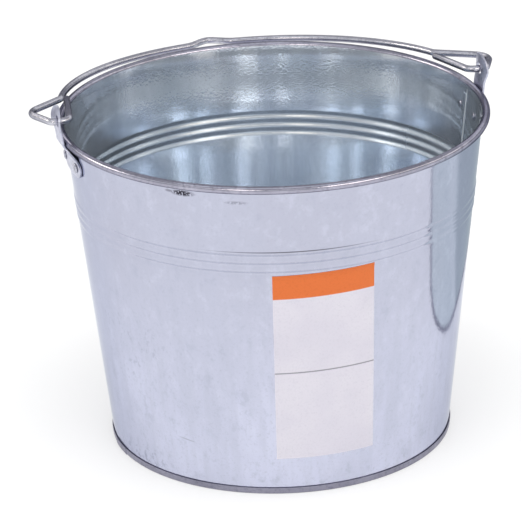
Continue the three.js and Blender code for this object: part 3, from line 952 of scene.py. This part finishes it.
def make_foot():
    def outer_leg(z):
        return wall_outer(z) + GAP + SHEET / 2

    def inner_leg(z):
        return flange_middle(z) - SHEET / 2 - GAP - SHEET / 2

    low = SHEET / 2
    corners = [
        (Vector((outer_leg(BAND_HEIGHT), BAND_HEIGHT)), 0),
        (Vector((outer_leg(low), low)), FOOT_BEND),
        (Vector((inner_leg(low), low)), FOOT_BEND),
        (Vector((inner_leg(BAND_INNER_HEIGHT), BAND_INNER_HEIGHT)), 0),
    ]
    rows = [tuple(point) for point in outline_bend(corners, FOOT_BEND_STEP)]
    foot = turned("foot_band_sheet", rows, FOOT_SEGMENTS)
    face_out(foot, outward)
    thicken(foot, SHEET)
    for face in foot.data.polygons:
        turn = atan2(face.center.x, -face.center.y)
        facing = face.normal.dot(outward(face.center).normalized())
        face.select = FOOT_LAP[0] < turn < FOOT_LAP[1] and facing > FACES_OUT
    for edge in foot.data.edges:
        edge.select = False
    for vertex in foot.data.vertices:
        vertex.select = False
    bpy.ops.object.mode_set(mode="EDIT")
    bpy.ops.mesh.select_mode(type="FACE")
    rise = {"value": FOOT_LAP_RISE * MM}
    bpy.ops.mesh.extrude_region_shrink_fatten(TRANSFORM_OT_shrink_fatten=rise)
    bpy.ops.object.mode_set(mode="OBJECT")
    soften(foot, FOOT_ROUNDING, segments=2)
    finish_piece(foot, "pail", "galvanized_foot", ["foot_band"], FOOT)


# ---- ears ----
EAR_COLUMNS = 28
LOBE_ROWS = 8
SHOULDER_ROWS = 12
NECK_ROWS = 20
HEAD_ROWS = 10
EAR_BEND_STEP = radians(4)
EAR_ROUNDING = 0.22
DRILL_SEGMENTS = 48
EAR_DRILL_LENGTH = 12
RIVET_DRILL_LENGTH = 8


def ear_line():
    """The ear's inner face seen from the side, as (radius, height)."""
    foot = BEAD.y - EAR_BASE_DROP
    lean = TAPER + EAR_KICK
    touch = BEAD + EAR_WRAP * Vector((cos(lean), -sin(lean)))
    kick = Vector((sin(lean), cos(lean)))
    gap = touch.x - wall_outer(touch.y) - GAP
    to_wall = gap / (kick.x - kick.y * tan(TAPER))
    to_head = EAR_WRAP * tan((lean - EAR_LEAN) / 2)
    top = HINGE.z + EAR_HEAD_OFFSET + EAR_HEAD_RADIUS
    corners = [
        (Vector((wall_outer(foot) + GAP, foot)), 0),
        (touch - kick * to_wall, EAR_KICK_RADIUS),
        (touch + kick * to_head, EAR_WRAP),
        (Vector((ear_inner(top + 1), top + 1)), 0),
    ]
    return outline_bend(corners, EAR_BEND_STEP)


EAR_LINE = ear_line()
EAR_FOOT = EAR_LINE[0].y
EAR_HEAD_CENTRE = HINGE.z + EAR_HEAD_OFFSET - EAR_FOOT


def ear_half(rise):
    """Half the flat blank's width at a height above its foot."""
    corner = max(EAR_LOBE_RADIUS - rise, 0)
    base = EAR_BASE_HALF - EAR_LOBE_RADIUS + sqrt(EAR_LOBE_RADIUS**2 - corner**2)
    narrowing = smooth(EAR_LOBE_RADIUS, EAR_SHOULDER_RISE, rise)
    widening = smooth(EAR_HEAD_CENTRE - EAR_HEAD_BLEND, EAR_HEAD_CENTRE, rise)
    neck = mix(EAR_NECK_HALF, EAR_HEAD_RADIUS, widening)
    return mix(base, neck, narrowing)


def ear_blank():
    """The flat blank's rows, each a list of (across, rise)."""
    rises = [EAR_LOBE_RADIUS * (1 - cos(pi / 2 * i / LOBE_ROWS)) for i in range(LOBE_ROWS)]
    for low, high, rows in (
        (EAR_LOBE_RADIUS, EAR_SHOULDER_RISE, SHOULDER_ROWS),
        (EAR_SHOULDER_RISE, EAR_HEAD_CENTRE, NECK_ROWS),
    ):
        rises += [mix(low, high, i / rows) for i in range(rows)]
    shares = [2 * i / EAR_COLUMNS - 1 for i in range(EAR_COLUMNS + 1)]
    rows = [[(share * ear_half(rise), rise) for share in shares] for rise in rises]
    for i in range(HEAD_ROWS + 1):
        up = i / HEAD_ROWS
        rows.append(
            [
                (
                    EAR_HEAD_RADIUS * share * sqrt(1 - up * up / 2),
                    EAR_HEAD_CENTRE + EAR_HEAD_RADIUS * up * sqrt(1 - share * share / 2),
                )
                for share in shares
            ]
        )
    return rows


def ear_place(across, rise, depth):
    """Where a point of the flat blank lies once the ear is pressed: along the wall, out round the
    rim and up to the head, whose wings curl outwards."""
    z = EAR_FOOT + rise
    i = next((k for k, point in enumerate(EAR_LINE) if point.y >= z and k > 0), len(EAR_LINE) - 1)
    low, high = EAR_LINE[i - 1], EAR_LINE[i]
    along = high - low
    point = low + along * ((z - low.y) / along.y)
    along.normalize()
    normal = Vector((along.y, -along.x))
    free = smooth(EAR_LINE[1].y - EAR_FOOT, BEAD.y - EAR_FOOT, rise)
    flare = EAR_FLARE * smooth(BEAD.y - EAR_FOOT, EAR_HEAD_CENTRE, rise)
    radius = point.x + normal.x * depth
    hugging = sqrt(radius**2 - across**2)
    flared = radius + flare * (across / EAR_HEAD_RADIUS) ** 2
    return Vector((mix(hugging, flared, free), across, point.y + normal.y * depth)) * MM


def drill(piece, at, along, radius, length):
    """Cuts a round hole of that radius through a piece."""
    deselect()
    bpy.ops.mesh.primitive_cylinder_add(
        vertices=DRILL_SEGMENTS, radius=radius * MM, depth=length * MM
    )
    bit = bpy.context.object
    bit.data.transform(along.to_track_quat("Z", "Y").to_matrix().to_4x4())
    bit.data.transform(Matrix.Translation(at * MM))
    choose(piece)
    bpy.ops.object.modifier_add(type="BOOLEAN")
    cut = piece.modifiers[-1]
    cut.operation = "DIFFERENCE"
    cut.object = bit
    cut.solver = "EXACT"
    bpy.ops.object.modifier_apply(modifier=cut.name)
    bpy.data.objects.remove(bit)


def rivet_seat(side, across):
    """Where a rivet passes through the wall's outer face, and the direction of its head."""
    z = BEAD.y - RIVET_DROP
    radius = wall_outer(z)
    angle = across * RIVET_SPACING / 2 / radius
    out = Vector((side * cos(angle), sin(angle), 0))
    normal = out * cos(TAPER) - Vector((0, 0, sin(TAPER)))
    return out * radius + Vector((0, 0, z)), normal


def make_ear(name, side, node):
    deselect()
    blank = ear_blank()
    bpy.ops.mesh.primitive_grid_add(
        x_subdivisions=EAR_COLUMNS, y_subdivisions=len(blank) - 1, size=2
    )
    ear = bpy.context.object
    ear.name = name
    for vertex in ear.data.vertices:
        column = round((vertex.co.x + 1) / 2 * EAR_COLUMNS)
        row = round((vertex.co.y + 1) / 2 * (len(blank) - 1))
        across, rise = blank[row][column]
        vertex.co = ear_place(across, rise, EAR_SHEET / 2)
    face_out(ear, outward)
    thicken(ear, EAR_SHEET)
    soften(ear, EAR_ROUNDING, segments=2)
    drill(ear, HINGE, Vector((1, 0, 0)), EAR_HOLE_RADIUS, EAR_DRILL_LENGTH)
    for across in (-1, 1):
        at, normal = rivet_seat(1, across)
        drill(ear, at, normal, RIVET_SHANK_RADIUS + GAP, RIVET_DRILL_LENGTH)
    if side < 0:
        ear.data.transform(Matrix.Rotation(pi, 4, "Z"))
    finish_piece(ear, "pail", "galvanized_ear", [node], EAR)


# ---- rivets ----
RIVET_SEGMENTS = 32
RIVET_TAIL_ROWS = 6
RIVET_HEAD_ROWS = 7
RIVET_TAIL_EDGE = 0.12
RIVET_HEAD_EDGE = 0.15
RIVET_TAIL_FULLNESS = 0.8

# The flat seats' radii, as shares of the tail's and the head's
RIVET_TAIL_SEAT_SHARE = 0.96
RIVET_HEAD_SEAT_SHARE = 0.97


def make_rivet(name, side, across, node):
    tail_seat = -SHEET - GAP
    head_seat = GAP + EAR_SHEET + GAP
    rows = []
    for i in range(1, RIVET_TAIL_ROWS):
        angle = pi / 2 * i / RIVET_TAIL_ROWS
        drop = RIVET_TAIL_RISE * cos(angle) ** RIVET_TAIL_FULLNESS
        rows.append((RIVET_TAIL_RADIUS * sin(angle), tail_seat - drop))
    rows += [
        (RIVET_TAIL_RADIUS, tail_seat - RIVET_TAIL_EDGE),
        (RIVET_TAIL_RADIUS * RIVET_TAIL_SEAT_SHARE, tail_seat),
        (RIVET_SHANK_RADIUS, tail_seat),
        (RIVET_SHANK_RADIUS, head_seat),
        (RIVET_HEAD_RADIUS * RIVET_HEAD_SEAT_SHARE, head_seat),
    ]
    for i in range(RIVET_HEAD_ROWS):
        angle = pi / 2 * (1 - i / RIVET_HEAD_ROWS)
        rise = RIVET_HEAD_EDGE + (RIVET_HEAD_RISE - RIVET_HEAD_EDGE) * cos(angle)
        rows.append((RIVET_HEAD_RADIUS * sin(angle), head_seat + rise))
    rivet = turned(name, rows, RIVET_SEGMENTS, first_pole=True, last_pole=True)
    at, normal = rivet_seat(side, across)
    turn = normal.to_track_quat("Z", "Y").to_matrix().to_4x4()
    rivet.data.transform(Matrix.Translation(at * MM) @ turn)
    finish_piece(rivet, "pail", "rivet_steel", [node], RIVET)


# ---- bail ----
BAIL_BEND_STEP = radians(6)
BOW_STEPS = 28
CROWN_STEPS = 18
WIRE_ROUNDNESS = 8
WIRE_END_ROUNDING = 0.35
WIRE_END_ANGLE = radians(60)
WELD_DISTANCE = 0.01


def bail_half(tip_outset, tail_reach):
    """The middle line of the bail's right half, from its tail round the loop and the bow to the
    hook at the crown, in the plane of the folded bail."""
    bow_radius = RIM_RADIUS - BOW_INSET

    def bow_at(lean):
        return Vector((bow_radius * cos(lean) - BOW_OVERLAP, BOW_SHIFT + bow_radius * sin(lean), 0))

    leg = Vector((-sin(LEG_LEAN), cos(LEG_LEAN), 0))
    start = bow_at(LEG_LEAN)
    corners = [
        (Vector((HINGE.x - TAIL_INSET, tail_reach, TAIL_RISE)), 0),
        (Vector((HINGE.x - LOOP_INSET, 0, 0)), LOOP_BEND_RADIUS),
        (Vector((HINGE.x + LOOP_OUTSET, 0, 0)), AXLE_BEND_RADIUS),
        (Vector((HINGE.x + tip_outset, LOOP_TIP_REACH, 0)), TIP_BEND_RADIUS),
        (start - leg * SHOULDER_STRAIGHT, SHOULDER_BEND_RADIUS),
        (start, 0),
    ]
    line = outline_bend(corners, BAIL_BEND_STEP)
    for i in range(1, BOW_STEPS + 1):
        line.append(bow_at(mix(LEG_LEAN, CROWN_LEAN, i / BOW_STEPS)))
    crown = line[-1]
    for i in range(CROWN_STEPS + 1):
        share = 1 - i / CROWN_STEPS
        x = share * HOOK_HALF
        hook = HOOK_RISE * (1 + cos(pi * share)) / 2
        line.append(Vector((x, crown.y + (crown.x - x) / tan(CROWN_LEAN) + hook, 0)))
    return line


def make_bail():
    right = bail_half(LOOP_TIP_OUTSET + LOOP_TIP_SKEW, TAIL_REACH - TAIL_REACH_SKEW)
    left = bail_half(LOOP_TIP_OUTSET - LOOP_TIP_SKEW, TAIL_REACH + TAIL_REACH_SKEW)
    line = right + [Vector((-p.x, p.y, p.z)) for p in reversed(left[:-1])]
    tilt = Matrix.Rotation(-asin(BAIL_DROP / (BOW_SHIFT + RIM_RADIUS - BOW_INSET)), 4, "X")
    place = Matrix.Translation(Vector((0, 0, HINGE.z))) @ tilt
    curve = bpy.data.curves.new("bail_wire", "CURVE")
    curve.dimensions = "3D"
    curve.bevel_depth = BAIL_WIRE_RADIUS * MM
    curve.bevel_resolution = WIRE_ROUNDNESS
    curve.use_fill_caps = True
    spline = curve.splines.new("POLY")
    spline.points.add(len(line) - 1)
    for point, at in zip(spline.points, line):
        point.co = (*(place @ at * MM), 1)
    bail = bpy.data.objects.new("bail_wire", curve)
    bpy.context.scene.collection.objects.link(bail)
    choose(bail)
    bpy.ops.object.convert(target="MESH")
    bail = bpy.context.object
    bpy.ops.object.mode_set(mode="EDIT")
    bpy.ops.mesh.select_all(action="SELECT")
    bpy.ops.mesh.remove_doubles(threshold=WELD_DISTANCE * MM)
    bpy.ops.mesh.normals_make_consistent(inside=False)
    bpy.ops.object.mode_set(mode="OBJECT")
    soften(bail, WIRE_END_ROUNDING, segments=3, angle=WIRE_END_ANGLE)
    finish_piece(bail, "bail", "galvanized_wire", ["bail"], WIRE)


# ---- sticker ----
STICKER_COLUMNS = 40
STICKER_LEVELS = 72
STICKER_LIFT = 0.12
STICKER_THICKNESS = 0.1

# Each corner as (angle round the pail, height)
STICKER_CORNERS = {
    "top_left": (radians(-17.7), 168.5),
    "top_right": (radians(11.7), 170.4),
    "low_left": (radians(-18.0), 27.5),
    "low_right": (radians(14.2), 28.2),
}


def make_sticker():
    deselect()
    bpy.ops.mesh.primitive_grid_add(
        x_subdivisions=STICKER_COLUMNS, y_subdivisions=STICKER_LEVELS, size=2
    )
    sticker = bpy.context.object
    sticker.name = "blank_sticker"
    layer = sticker.data.uv_layers[0]
    layer.name = "sticker"
    c = STICKER_CORNERS
    for vertex in sticker.data.vertices:
        u, v = (vertex.co.x + 1) / 2, (vertex.co.y + 1) / 2
        left = [mix(a, b, v) for a, b in zip(c["low_left"], c["top_left"])]
        right = [mix(a, b, v) for a, b in zip(c["low_right"], c["top_right"])]
        azimuth, z = (mix(a, b, u) for a, b in zip(left, right))
        radius = wall_outer(z) + rib_swell(z) + STICKER_LIFT
        vertex.co = Vector((radius * sin(azimuth), -radius * cos(azimuth), z)) * MM
    face_out(sticker, outward)
    thicken(sticker, STICKER_THICKNESS, offset=1.0)
    finish_piece(sticker, "pail", "galvanized_sheet", [], STICKER)


# ---- the whole scene ----
plain_floor()
plain_world()
dim_walls()
side_card()
overhead_lamp(*OVERHEAD)
for card in LIGHT_CARDS:
    light_card(*card)
make_wall()
make_seam()
make_pan()
make_foot()
make_ear("ear_right_plate", 1, "ear_right")
make_ear("ear_left_plate", -1, "ear_left")
for side_name, side in (("right", 1), ("left", -1)):
    for across_name, across in (("front", -1), ("back", 1)):
        node = f"rivet_{side_name}_{across_name}"
        make_rivet(node + "_domed", side, across, node)
make_bail()
make_sticker()
rim_wire = NODES["rim_wire"]
rim_wire.data.materials.clear()
rim_wire.data.materials.append(WIRE)
